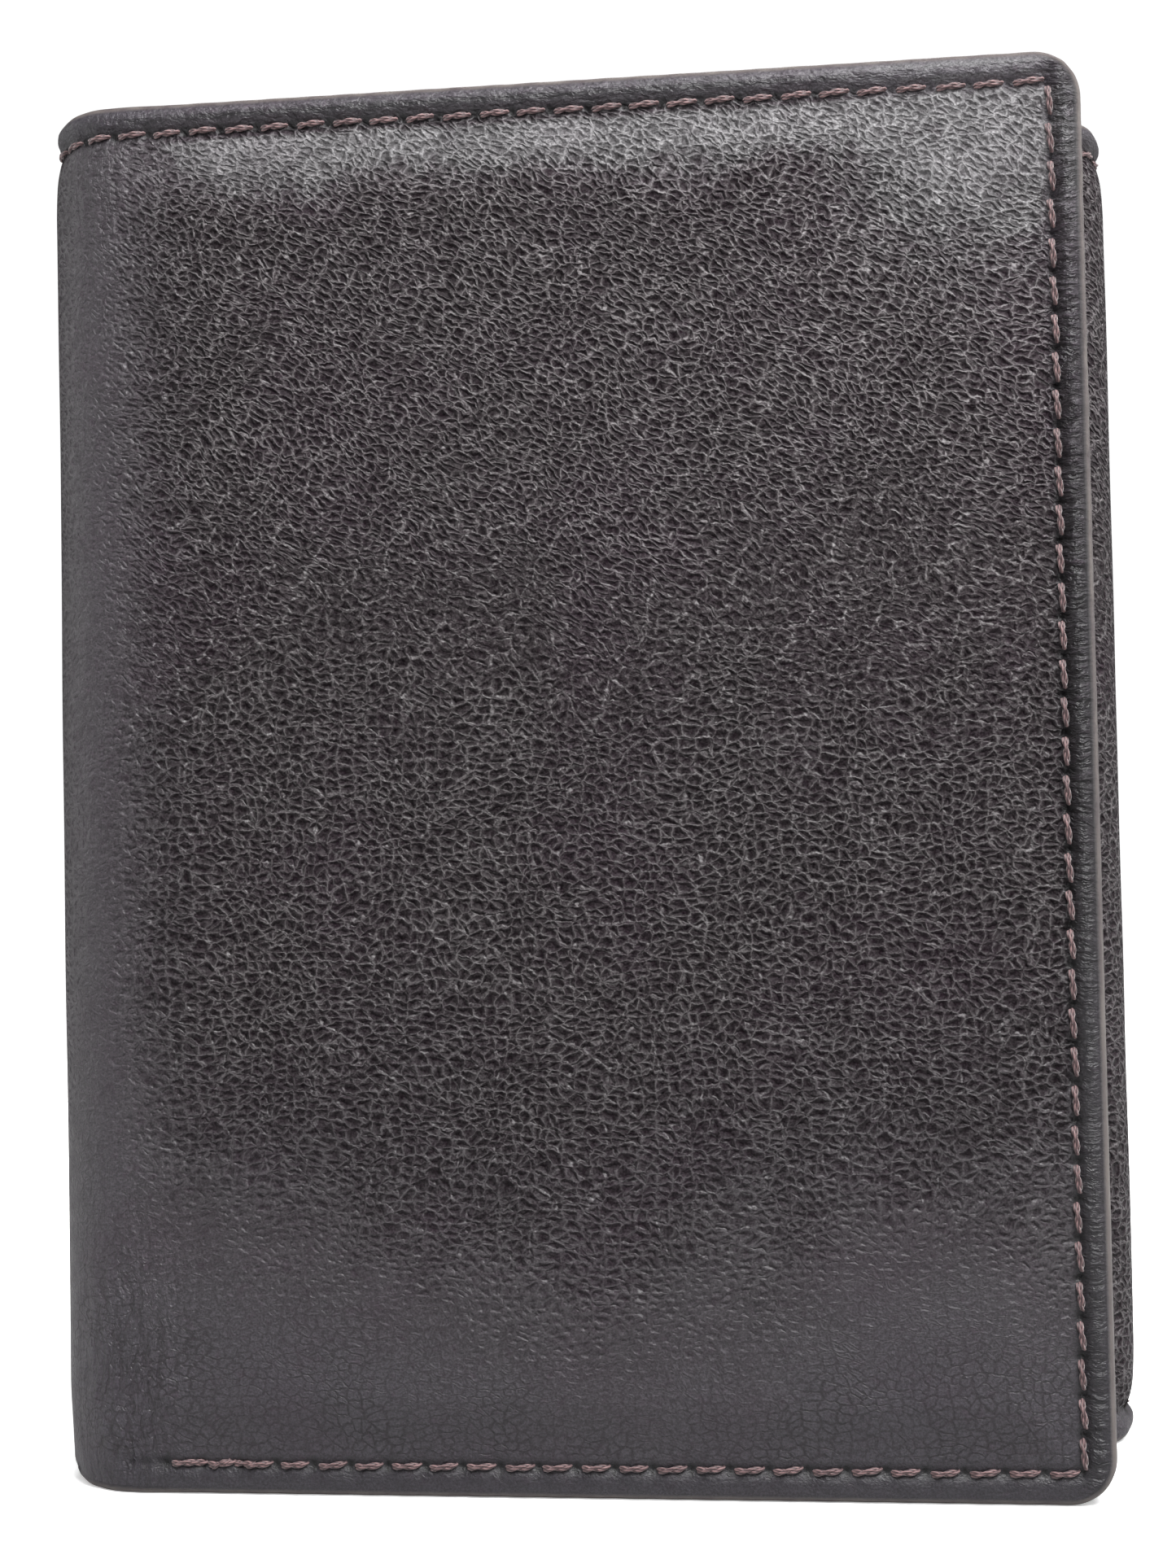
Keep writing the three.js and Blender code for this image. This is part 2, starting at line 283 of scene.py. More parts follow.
def relief(s, z):
    """How far the shell's outer face stands out of the flat strip."""
    d = edge_distance(s, z)
    to_top, to_end = HEIGHT - z, np.minimum(z, HEIGHT - z)
    rhythm, sewn = seam_pattern(s, z)
    front = on_front(s)
    folds = fold_share(s)

    crown = smoothstep(SEAM_INSET + 0.2, SEAM_INSET + CROWN_RISE, d)
    height = (BACK_CROWN + (CROWN - BACK_CROWN) * front) * crown
    height += 0.10 * front * smoothstep(8, 40, d)
    groove = bump(d, SEAM_INSET, 0.5)
    height -= sewn * (0.20 * groove + 0.07 * rhythm * bump(d, SEAM_INSET, 1.0))
    hole = np.clip(rhythm, 0, 1) ** 6 * bump(d, SEAM_INSET, 0.28)
    height -= sewn * 0.22 * hole

    rim = bump(d, 1.35, 0.65)
    height += 0.10 * rim * (1 - 0.4 * rhythm)
    free_rim = bump(side_distance(s), 1.2, 1.0) * smoothstep(-LEFT.end, -LEFT.end - 20, s)
    wrinkle = noise(z * 1.05, s * 0.25 + 3.1, 11) + 0.5 * noise(z * 2.1, s * 0.5, 12)
    height += free_rim * rumpled(z) * (0.14 + 0.22 * wrinkle)
    top_rim = bump(to_top, 1.3, 0.8)
    height += 0.03 * top_rim * noise(s * 0.8, z * 0.6, 13)

    swell = noise(s / 17, z / 21, 21) + 0.5 * noise(s / 8, z / 10, 22)
    height += 0.07 * swell * smoothstep(3, 9, d)
    height += front * 0.035 * noise(s / 3.1, z / 3.7, 23) * smoothstep(3, 9, d)

    pulls = noise(s * 0.9, z / 16, 31) + 0.6 * noise(s * 1.5, z / 8, 32)
    height += 0.07 * pull_reach(s, z) * pulls
    height += front * 0.08 * (bump(to_top, 0.95, 0.2) + bump(to_top, 1.5, 0.15))
    height += 0.03 * folds * noise(s * 0.55, z / 14, 33) * smoothstep(2, 8, to_end)
    height -= 0.35 * folds * bump(np.minimum(to_top, z + 2 * (1 - sewn)), SEAM_INSET, 1.4)
    return height


def fold_dip(s, z):
    """How far the strip's ends draw in round the outermost line of a fold."""
    dip = np.zeros_like(s)
    for fold, amount in ((LEFT, 0.5), (RIGHT, 1.1)):
        angle = np.clip((fold.side * s - fold.start) / fold.radius, 0, fold.total)
        dip += amount * np.sin(angle * math.pi / fold.total) ** 4
    offset = z / (HEIGHT / 2) - 1
    return z - np.sign(offset) * dip * np.abs(offset) ** 24


# Meshes --------------------------------------------------------------------------------------------------


def new_object(name, data):
    thing = bpy.data.objects.new(name, data)
    bpy.context.scene.collection.objects.link(thing)
    return thing


def signed_volume(mesh):
    """Positive when a closed mesh's faces point out of it."""
    mesh.calc_loop_triangles()
    corners = np.empty(3 * len(mesh.loop_triangles), np.int32)
    mesh.loop_triangles.foreach_get("vertices", corners)
    places = np.empty(3 * len(mesh.vertices))
    mesh.vertices.foreach_get("co", places)
    a, b, c = places.reshape(-1, 3)[corners.reshape(-1, 3)].transpose(1, 0, 2)
    return np.einsum("ij,ij->", a, np.cross(b, c)) / 6


def strip_mesh(name, strip, faces, material, marks, sharp_degrees=50):
    """A smooth-shaded object from strip points. It stores them and the marks, by point, for its material."""
    mesh = bpy.data.meshes.new(name)
    x, y = strip_xy(strip[:, 0], strip[:, 2])
    mesh.from_pydata((np.stack([x, y, strip[:, 1]], 1) * MM).tolist(), [], faces)
    for key, values in {"strip": strip, **marks}.items():
        values = np.asarray(values, np.float32)
        kind = "FLOAT_VECTOR" if values.ndim == 2 else "FLOAT"
        layer = mesh.attributes.new(key, kind, "POINT")
        layer.data.foreach_set("vector" if values.ndim == 2 else "value", values.ravel())
    mesh.validate()
    if signed_volume(mesh) < 0:
        mesh.flip_normals()
    mesh.shade_smooth()
    mesh.set_sharp_from_angle(angle=math.radians(sharp_degrees))
    mesh.materials.append(material)
    return new_object(name, mesh)


def quads(*corners):
    """Four-sided faces from equal arrays of their corners' numbers."""
    return np.stack(corners, -1).reshape(-1, 4).tolist()


def even_lines(low, high, step):
    return np.linspace(low, high, max(2, int(round((high - low) / step)) + 1))


def merged_lines(low, high, *line_sets):
    lines = np.concatenate([[low, high], *line_sets])
    lines = np.sort(lines[(lines >= low) & (lines <= high)])
    keep = [lines[0]]
    for line in lines[1:]:
        if line - keep[-1] > 0.05:
            keep.append(line)
    keep[-1] = high
    return np.array(keep)


def round_corners(s, z, box, radius, free):
    """Bends a grid's corner squares on to quarter circles, at the corners of its free sides."""
    s, z = s.copy(), z.copy()
    low_s, high_s, low_z, high_z = box
    for side, edge_s in ((-1, low_s), (1, high_s)):
        if not free[side]:
            continue
        for end, edge_z in ((-1, low_z), (1, high_z)):
            centre_s, centre_z = edge_s - side * radius, edge_z - end * radius
            a, b = side * (s - centre_s) / radius, end * (z - centre_z) / radius
            here = (a > 1e-9) & (b > 1e-9)
            reach = np.maximum(a, b)
            low, high = np.minimum(a, b), np.maximum(a, b)
            angle = math.pi / 4 * low / np.maximum(high, 1e-9)
            angle = np.where(a >= b, angle, math.pi / 2 - angle)
            s = np.where(here, centre_s + side * radius * reach * np.cos(angle), s)
            z = np.where(here, centre_z + end * radius * reach * np.sin(angle), z)
    return s, z


def outline_normals(s, z, index_s, index_z, shape, box, radius, free):
    """Outward direction of each point on a grid's outline. A joined side has none."""
    low_s, high_s, low_z, high_z = box
    out_s = np.where(index_s == shape[0] - 1, float(free[1]), np.where(index_s == 0, -float(free[-1]), 0.0))
    out_z = np.where(index_z == shape[1] - 1, 1.0, np.where(index_z == 0, -1.0, 0.0))
    if radius > 0:
        for side, edge_s in ((-1, low_s), (1, high_s)):
            for end, edge_z in ((-1, low_z), (1, high_z)):
                a, b = side * (s - (edge_s - side * radius)), end * (z - (edge_z - end * radius))
                here = (a > 1e-6) & (b > 1e-6) & free[side]
                length = np.maximum(np.hypot(a, b), 1e-9)
                out_s = np.where(here, side * a / length, out_s)
                out_z = np.where(here, end * b / length, out_z)
    return out_s, out_z


def sheet(name, s_lines, z_lines, top, bottom, rim, material, corner=0.0, joined=(), hem=None, dip=None,
          extra=None, rim_steps=4):
    """A sheet of leather or cloth with rounded edges.

    s_lines and z_lines run to the outline; top and bottom give the depths of its two faces. A joined side
    is cut square, where the sheet goes on in its neighbour. hem is (width, depth of the field inside it).
    """
    free = {-1: "low" not in joined, 1: "high" not in joined}
    inset = {side: rim if free[side] else 0.0 for side in (-1, 1)}
    box = (s_lines[0] + inset[-1], s_lines[-1] - inset[1], z_lines[0] + rim, z_lines[-1] - rim)
    lines_s = np.clip(s_lines, box[0], box[1])
    lines_z = np.clip(z_lines, box[2], box[3])
    lines_s = lines_s[np.concatenate([[True], np.diff(lines_s) > 1e-6])]
    lines_z = lines_z[np.concatenate([[True], np.diff(lines_z) > 1e-6])]
    grid_s, grid_z = np.meshgrid(lines_s, lines_z, indexing="ij")
    radius = max(corner - rim, 0.0)
    if radius:
        grid_s, grid_z = round_corners(grid_s, grid_z, box, radius, free)
    shape = grid_s.shape
    count = grid_s.size
    index = np.arange(count).reshape(shape)
    loop = np.concatenate([index[:, 0], index[-1, 1:], index[-2::-1, -1], index[0, -2:0:-1]])
    index_s, index_z = np.unravel_index(loop, shape)
    loop_s, loop_z = grid_s.ravel()[loop], grid_z.ravel()[loop]
    out_s, out_z = outline_normals(loop_s, loop_z, index_s, index_z, shape, box, radius, free)
    middle_z, half_z = (box[2] + box[3]) / 2, (box[3] - box[2]) / 2
    on_joint = ((index_s == 0) & (not free[-1])) | ((index_s == shape[0] - 1) & (not free[1]))

    def ring(outset, depth):
        s = loop_s + out_s * outset
        z = loop_z + out_z * outset
        z = np.where(on_joint, middle_z + (loop_z - middle_z) * (half_z + outset) / half_z, z)
        return np.stack([s, z, depth], 1)

    top_grid = top(grid_s, grid_z)
    top_loop, bottom_loop = top_grid.ravel()[loop], np.broadcast_to(bottom(loop_s, loop_z), loop_s.shape)
    way = np.sign(np.mean(bottom_loop - top_loop))
    sink = np.minimum(rim, 0.48 * np.abs(bottom_loop - top_loop))
    points = [np.stack([grid_s.ravel(), grid_z.ravel(), top_grid.ravel()], 1)]
    ring_list, edge_values = [], [np.zeros(count)]
    angles = [math.pi / 2 * k / rim_steps for k in range(1, rim_steps + 1)]
    for angle in angles:
        ring_list.append(ring(rim * math.sin(angle), top_loop + way * sink * (1 - math.cos(angle))))
        edge_values.append(np.full(len(loop), math.sin(angle)))
    for angle in reversed(angles):
        ring_list.append(ring(rim * math.sin(angle), bottom_loop - way * sink * (1 - math.cos(angle))))
        edge_values.append(np.ones(len(loop)))
    ring_list.append(ring(0.0, bottom_loop))
    edge_values.append(np.full(len(loop), 0.5))
    if hem:
        width, field = hem
        for share, depth in ((width, bottom_loop), (width + 0.3, np.full(len(loop), field))):
            ring_list.append(ring(-share, depth))
            edge_values.append(np.full(len(loop), 0.0))

    faces = quads(index[:-1, :-1], index[1:, :-1], index[1:, 1:], index[:-1, 1:])
    rings = [loop] + [count + k * len(loop) + np.arange(len(loop)) for k in range(len(ring_list))]
    for a, b in zip(rings[:-1], rings[1:]):
        faces += quads(a, b, np.roll(b, -1), np.roll(a, -1))
    points += ring_list
    if hem:
        faces.append(rings[-1][::-1].tolist())
    else:
        base = count + len(ring_list) * len(loop)
        inner_points = np.stack([grid_s.ravel(), grid_z.ravel(),
                                 np.broadcast_to(bottom(grid_s, grid_z), shape).ravel()], 1)
        used = np.setdiff1d(np.arange(count), loop)
        renumber = np.full(count, -1)
        renumber[used] = base + np.arange(len(used))
        renumber[loop] = rings[-1]
        under = renumber.reshape(shape)
        points.append(inner_points[used])
        edge_values.append(np.zeros(len(used)))
        faces += quads(under[:-1, :-1], under[:-1, 1:], under[1:, 1:], under[1:, :-1])
    strip = np.concatenate(points)
    if dip is not None:
        strip[:, 1] = dip(strip[:, 0], strip[:, 1])
    marks = {"edge": np.concatenate(edge_values), **(extra(strip) if extra else {})}
    return strip_mesh(name, strip, faces, material, marks)


def stitches(name, runs, surface, material, slant=0.13, radius=THREAD_RADIUS, way=1, dip=None):
    """Two-strand stitches from hole to hole, each dipping into the leather at its ends."""
    starts, ends = np.array(runs, float).transpose(1, 0, 2)
    jitter = np.random.default_rng(len(starts)).uniform(-1, 1, (2, *starts.shape))
    tuck = 0.12 * (ends - starts) / np.linalg.norm(ends - starts, axis=1, keepdims=True)
    starts += tuck + 0.3 * radius * jitter[0]
    ends += 0.3 * radius * jitter[1] - tuck
    sections, sides = 9, 6
    count = len(starts)
    t = np.linspace(0, 1, sections)
    run = ends - starts
    length = np.linalg.norm(run, axis=1, keepdims=True)
    along = run / length
    across = np.stack([-along[:, 1], along[:, 0]], 1)
    lean = (0.5 - t) * 2 * slant
    centre = starts[:, None] + run[:, None] * t[None, :, None] + across[:, None] * lean[None, :, None]
    base = surface(centre[..., 0], centre[..., 1])
    dive = np.abs(2 * t - 1) ** 6
    lift = radius * 0.75 - (radius * 2.6) * dive
    taper = 1 - 0.35 * dive
    vertices, coords = [], []
    turn = 2 * math.pi * np.arange(sides) / sides
    for strand in range(2):
        twist = math.pi * (strand + 2.3 * t) + 0.4
        offset_across = radius * 0.5 * np.cos(twist)
        offset_up = radius * 0.32 * np.sin(twist)
        tube = radius * 0.62 * taper
        a = offset_across[:, None] + tube[:, None] * np.cos(turn)
        u = (offset_up + lift)[:, None] + tube[:, None] * np.sin(turn)
        sz = centre[:, :, None, :] + across[:, None, None, :] * a[None, :, :, None]
        depth = base[:, :, None] - way * u[None]
        vertices.append(np.concatenate([sz, depth[..., None]], -1))
        shape = depth.shape
        run_mm = (t[None, :, None] * length[:, None]) * np.ones(shape)
        angle_mm = np.ones(shape) * (turn * tube.max())[None, None, :]
        number = np.ones(shape) * (np.arange(count)[:, None, None] * 7.3 + strand * 3.1)
        coords.append(np.stack([run_mm, angle_mm, number], -1))
    strip = np.stack(vertices, 1).reshape(-1, 3)
    coords = np.stack(coords, 1).reshape(-1, 3)
    index = np.arange(len(strip)).reshape(count * 2, sections, sides)
    a, b = index[:, :-1], index[:, 1:]
    faces = quads(a, b, np.roll(b, -1, 2), np.roll(a, -1, 2))
    faces += index[:, 0].tolist() + index[:, -1, ::-1].tolist()
    if dip is not None:
        strip[:, 1] = dip(strip[:, 0], strip[:, 1])
    return strip_mesh(name, strip, faces, material, {"fibre": coords}, 70)


# Materials -----------------------------------------------------------------------------------------------


class Nodes:
    """A material's node tree, with short calls for the nodes it is made of."""

    def __init__(self, name):
        self.material = bpy.data.materials.new(name)
        self.material.use_nodes = True
        self.tree = self.material.node_tree
        self.shader = self.tree.nodes["Principled BSDF"]

    def add(self, kind, inputs=None, **settings):
        node = self.tree.nodes.new(kind)
        for key, value in settings.items():
            setattr(node, key, value)
        for key, value in (inputs or {}).items():
            self.put(node.inputs[key], value)
        return node

    def put(self, socket, value):
        if isinstance(value, bpy.types.NodeSocket):
            self.tree.links.new(value, socket)
        else:
            socket.default_value = value

    def set(self, **inputs):
        for key, value in inputs.items():
            self.put(self.shader.inputs[key.replace("_", " ")], value)

    def attribute(self, name, output="Fac"):
        return self.add("ShaderNodeAttribute", attribute_name=name).outputs[output]

    def math(self, operation, *values, clamp=False):
        node = self.add("ShaderNodeMath", operation=operation, use_clamp=clamp)
        for socket, value in zip(node.inputs, values):
            self.put(socket, value)
        return node.outputs[0]

    def plus(self, a, b):
        return self.math("ADD", a, b)

    def minus(self, a, b):
        return self.math("SUBTRACT", a, b)

    def times(self, a, b, clamp=False):
        return self.math("MULTIPLY", a, b, clamp=clamp)

    def scale(self, vector, factors):
        return self.add("ShaderNodeVectorMath", {0: vector, 1: factors}, operation="MULTIPLY").outputs[0]

    def turned(self, vector, degrees, factors):
        """Space turned by an angle and then scaled along its new axes."""
        scale = [1 / factor for factor in factors]
        node = self.add("ShaderNodeMapping", {"Vector": vector, "Scale": scale}, vector_type="TEXTURE")
        node.inputs["Rotation"].default_value[2] = math.radians(degrees)
        return node.outputs[0]

    def noise(self, vector, scale, detail=3.0, rough=0.5, output="Fac"):
        inputs = {"Vector": vector, "Scale": scale, "Detail": detail, "Roughness": rough}
        return self.add("ShaderNodeTexNoise", inputs).outputs[output]

    def ramp(self, value, low, high, to_low=0.0, to_high=1.0):
        inputs = {"Value": value, "From Min": low, "From Max": high, "To Min": to_low, "To Max": to_high}
        return self.add("ShaderNodeMapRange", inputs, interpolation_type="SMOOTHSTEP").outputs[0]

    def mix(self, factor, a, b):
        node = self.add("ShaderNodeMix", data_type="RGBA")
        self.put(node.inputs[0], factor)
        self.put(node.inputs[6], a)
        self.put(node.inputs[7], b)
        return node.outputs[2]

    def bump(self, height, distance, strength):
        inputs = {"Height": height, "Distance": distance, "Strength": strength}
        return self.add("ShaderNodeBump", inputs).outputs[0]


def rgb(red, green, blue):
    """A colour given as it looks on a screen, 0 to 255."""
    values = [channel / 255 for channel in (red, green, blue)]
    linear = [v / 12.92 if v <= 0.04045 else ((v + 0.055) / 1.055) ** 2.4 for v in values]
    return (*linear, 1.0)


def cell_distance(n, vector, scale):
    """Distance to the nearest border between the cells of a grain."""
    node = n.add("ShaderNodeTexVoronoi", {"Vector": vector, "Scale": scale, "Randomness": 0.9},
                 feature="DISTANCE_TO_EDGE", voronoi_dimensions="2D")
    return node.outputs["Distance"]


def wander(n, place, scale, reach):
    """The place shifted by a smooth noise, so that a pattern laid on it isn't even."""
    drift = n.noise(place, scale, 2.0, output="Color")
    centred = n.add("ShaderNodeVectorMath", {0: drift, 1: (0.5, 0.5, 0.5)}, operation="SUBTRACT").outputs[0]
    shift = n.scale(centred, (reach, reach, 0))
    return n.add("ShaderNodeVectorMath", {0: shift, 1: place}, operation="ADD").outputs[0]


def grain_leather(name, pit, ridge, smooth, haze, edge, grain_size, depth):
    """Leather with light ridges round dark pits where its grain is 1, and domes between cracks where 0. Its light
    ridges and dark pits are partly the grain's own colour and partly painted light and shade.
    """
    n = Nodes(name)
    place = n.attribute("strip", "Vector")
    grain = n.attribute("grain")
    cracks = n.attribute("cracks")
    tone = n.attribute("tone")
    rim = n.attribute("edge")
    crumple = n.attribute("crumple")
    gather = n.attribute("gather")
    coarse = n.ramp(grain, 0.0, 0.8)
    blotch = n.noise(place, 0.09, 3.0, 0.6)
    speck = n.noise(place, 1.1, 4.0, 0.7)
    grit = n.noise(place, 6.0, 2.0, 0.6)
    patch = n.ramp(n.noise(place, 0.17, 3.0, 0.6), 0.35, 0.65, 0.6, 1.0)

    # The cells of the grain lie level lower down, and are drawn out along a slant near the top.
    warped = wander(n, wander(n, place, 0.13, 2.4), 1.5, 0.6)
    up = n.add("ShaderNodeSeparateXYZ", {0: place}).outputs[1]
    slanted = n.ramp(n.plus(up, n.times(blotch, 40.0)), 74, 100)
    level = cell_distance(n, n.turned(warped, 0, (0.85, 1.22, 1)), 1.2 / grain_size)
    drawn = cell_distance(n, n.turned(warped, 28, (0.55, 1.2, 1)), 1.7 / grain_size)
    cells = n.plus(n.times(level, n.minus(1.0, slanted)), n.times(drawn, slanted))
    veins = cell_distance(n, n.turned(warped, 24, (0.6, 1.4, 1)), 0.6 / grain_size)
    fine = n.noise(n.scale(warped, (1, 1.3, 1)), 3.2, 3.0, 0.65)
    wrinkles = n.noise(n.scale(warped, (0.6, 2.8, 1)), 0.75, 3.0, 0.6)
    upright = n.noise(n.scale(warped, (2.4, 0.3, 1)), 0.75, 3.0, 0.55)

    width = n.minus(n.plus(n.times(n.minus(1.0, grain), 0.3), 0.2), n.times(slanted, 0.02))
    crest = n.ramp(cells, 0.0, n.times(width, 0.6), 1.0, 0.0)
    flank = n.ramp(cells, 0.0, n.times(width, 1.75), 0.5, 0.0)
    lines = n.math("MAXIMUM", n.math("MAXIMUM", crest, flank), n.ramp(veins, 0.0, 0.08, 1.0, 0.0))
    strength = n.times(n.ramp(fine, 0.3, 0.6, 0.5, 1.0), n.ramp(wrinkles, 0.35, 0.6, 0.6, 1.15))
    net = n.times(lines, strength, clamp=True)
    pits = n.times(n.minus(1.0, net), coarse)
    bowls = n.times(n.ramp(cells, 0.0, 0.5), coarse)
    crack = n.times(n.ramp(cells, 0.0, 0.21, 1.0, 0.0), n.times(cracks, patch))

    height = n.minus(n.times(fine, 0.3), bowls)
    height = n.minus(height, n.times(crack, 0.18))
    height = n.plus(height, n.times(n.times(wrinkles, crumple), 6.5))
    height = n.plus(height, n.times(n.times(upright, gather), 3.0))
    height = n.times(height, n.ramp(rim, 0.2, 0.7, 1.0, 0.12))

    colour = n.mix(grain, smooth, ridge)
    colour = n.mix(n.ramp(speck, 0.5, 0.75, 0.0, 0.5), colour, haze)
    # Painted shade in the hollows: pits, cracks and the troughs of the wrinkles and upright creases take the dark
    # pit colour, which in the pits is partly the grain's own darker colour.
    colour = n.mix(n.times(pits, n.ramp(fine, 0.3, 0.68, 1.0, 0.7)), colour, pit)
    colour = n.mix(n.times(crack, 0.75), colour, pit)
    colour = n.mix(n.times(n.ramp(wrinkles, 0.42, 0.6, 0.9, 0.0), crumple), colour, pit)
    colour = n.mix(n.times(n.ramp(wrinkles, 0.52, 0.7, 0.0, 0.6), crumple), colour, haze)
    colour = n.mix(n.times(n.ramp(upright, 0.36, 0.5, 0.5, 0.0), gather), colour, pit)
    colour = n.mix(n.ramp(blotch, 0.4, 0.75, 0.0, 0.22), colour, haze)
    # Painted light: the grain's crests near the top are lifted as a painted highlight, the tone mark lifts or
    # lowers the colour with its painted highlights and shade, and where it is high the colour is greyed like a
    # highlight.
    lit_crests = n.times(n.times(n.times(net, slanted), coarse), 0.35)
    value = n.times(n.plus(n.plus(tone, 1.0), lit_crests), n.ramp(grit, 0.25, 0.75, 0.5, 1.5))
    neutral = n.ramp(tone, 0.2, 1.4, 1.05, 0.35)
    lift = n.add("ShaderNodeHueSaturation", {"Color": colour, "Saturation": neutral, "Value": value}).outputs[0]
    edge_paint = n.mix(n.noise(n.scale(place, (1, 0.2, 3)), 0.8, 3.0), edge, haze)
    colour = n.mix(n.ramp(rim, 0.3, 0.75), lift, edge_paint)

    rough = n.ramp(n.noise(place, 0.5, 3.0), 0.3, 0.7, 0.41, 0.54)
    shine = n.ramp(pits, 0.0, 0.7, 0.5, 0.05)
    n.set(Base_Color=colour, Roughness=rough, Sheen_Weight=0.02, Sheen_Roughness=0.5, Specular_IOR_Level=shine,
          Normal=n.bump(height, depth * MM, 0.9))
    return n.material


def woven_fabric(name, dark, light, threads_per_mm):
    n = Nodes(name)
    place = n.attribute("strip", "Vector")
    angle = 2 * math.pi * threads_per_mm
    split = n.add("ShaderNodeSeparateXYZ", {0: place})
    warp = n.math("SINE", n.times(split.outputs[0], angle))
    weft = n.math("SINE", n.times(split.outputs[1], angle))
    over = n.times(warp, weft)
    fibres = n.noise(n.scale(place, (1, 6, 1)), 2.0, 3.0)
    height = n.plus(n.times(over, 0.5), n.times(fibres, 0.4))
    shade = n.ramp(height, -0.4, 0.9)
    worn = n.noise(place, 0.12, 3.0)
    colour = n.mix(shade, dark, light)
    colour = n.mix(n.ramp(worn, 0.4, 0.75, 0.0, 0.4), colour, light)
    n.set(Base_Color=colour, Roughness=0.82, Sheen_Weight=0.3, Normal=n.bump(height, 0.07 * MM, 0.8))
    return n.material


def thread_material(name, dark, light):
    n = Nodes(name)
    place = n.attribute("fibre", "Vector")
    split = n.add("ShaderNodeSeparateXYZ", {0: place})
    lay = n.plus(n.times(split.outputs[0], 9.0), n.times(split.outputs[1], 22.0))
    fibres = n.math("SINE", lay)
    fuzz = n.noise(place, 3.0, 3.0)
    height = n.plus(n.times(fibres, 0.4), fuzz)
    per_stitch = n.noise(n.scale(place, (0, 0, 1)), 0.37, 0.0)
    # Painted highlight and shade: the thread is lighter on the crests of its twist and darker in its grooves.
    colour = n.mix(n.ramp(height, 0.1, 0.95), dark, light)
    colour = n.mix(n.ramp(per_stitch, 0.35, 0.65, 0.0, 0.45), colour, dark)
    n.set(Base_Color=colour, Roughness=0.55, Sheen_Weight=0.35, Normal=n.bump(height, 0.05 * MM, 0.7))
    return n.material


def board_material(name, dark, light):
    n = Nodes(name)
    place = n.attribute("strip", "Vector")
    fibres = n.noise(n.scale(place, (0.4, 2, 1)), 0.8, 6.0, 0.7)
    n.set(Base_Color=n.mix(n.ramp(fibres, 0.3, 0.7), dark, light), Roughness=0.9,
          Normal=n.bump(fibres, 0.06 * MM, 0.6))
    return n.material


def window_material(name):
    n = Nodes(name)
    place = n.attribute("strip", "Vector")
    haze = n.noise(n.scale(place, (1, 0.3, 1)), 0.25, 4.0, 0.6)
    scuffs = n.noise(n.turned(place, 35, (3, 0.5, 1)), 0.5, 5.0)
    n.set(Base_Color=rgb(160, 164, 166), Roughness=n.ramp(haze, 0.3, 0.7, 0.08, 0.2), IOR=1.45,
          Alpha=n.ramp(scuffs, 0.5, 0.85, 0.04, 0.1), Normal=n.bump(haze, 0.1 * MM, 0.3))
    return n.material


SHELL_LEATHER = grain_leather(
    "shell_leather", pit=rgb(15, 7, 12), ridge=rgb(84, 80, 81), smooth=rgb(53, 50, 56), haze=rgb(50, 36, 47),
    edge=rgb(118, 112, 106), grain_size=1.0, depth=0.34)
INNER_LEATHER = grain_leather(
    "inner_leather", pit=rgb(30, 25, 27), ridge=rgb(66, 59, 61), smooth=rgb(48, 42, 44), haze=rgb(52, 45, 48),
    edge=rgb(64, 58, 58), grain_size=0.7, depth=0.06)
LINING = woven_fabric("lining_fabric", rgb(34, 30, 33), rgb(78, 70, 74), 1.6)
THREAD = thread_material("seam_thread", rgb(58, 40, 43), rgb(136, 106, 106))
FINE_STITCHES = thread_material("fine_thread", rgb(84, 58, 61), rgb(150, 112, 112))
BOARD = board_material("stiffener_board", rgb(96, 88, 80), rgb(140, 131, 120))
FOAM = board_material("padding_foam", rgb(58, 54, 54), rgb(84, 80, 79))
WINDOW = window_material("clear_window")

# The shell -----------------------------------------------------------------------------------------------


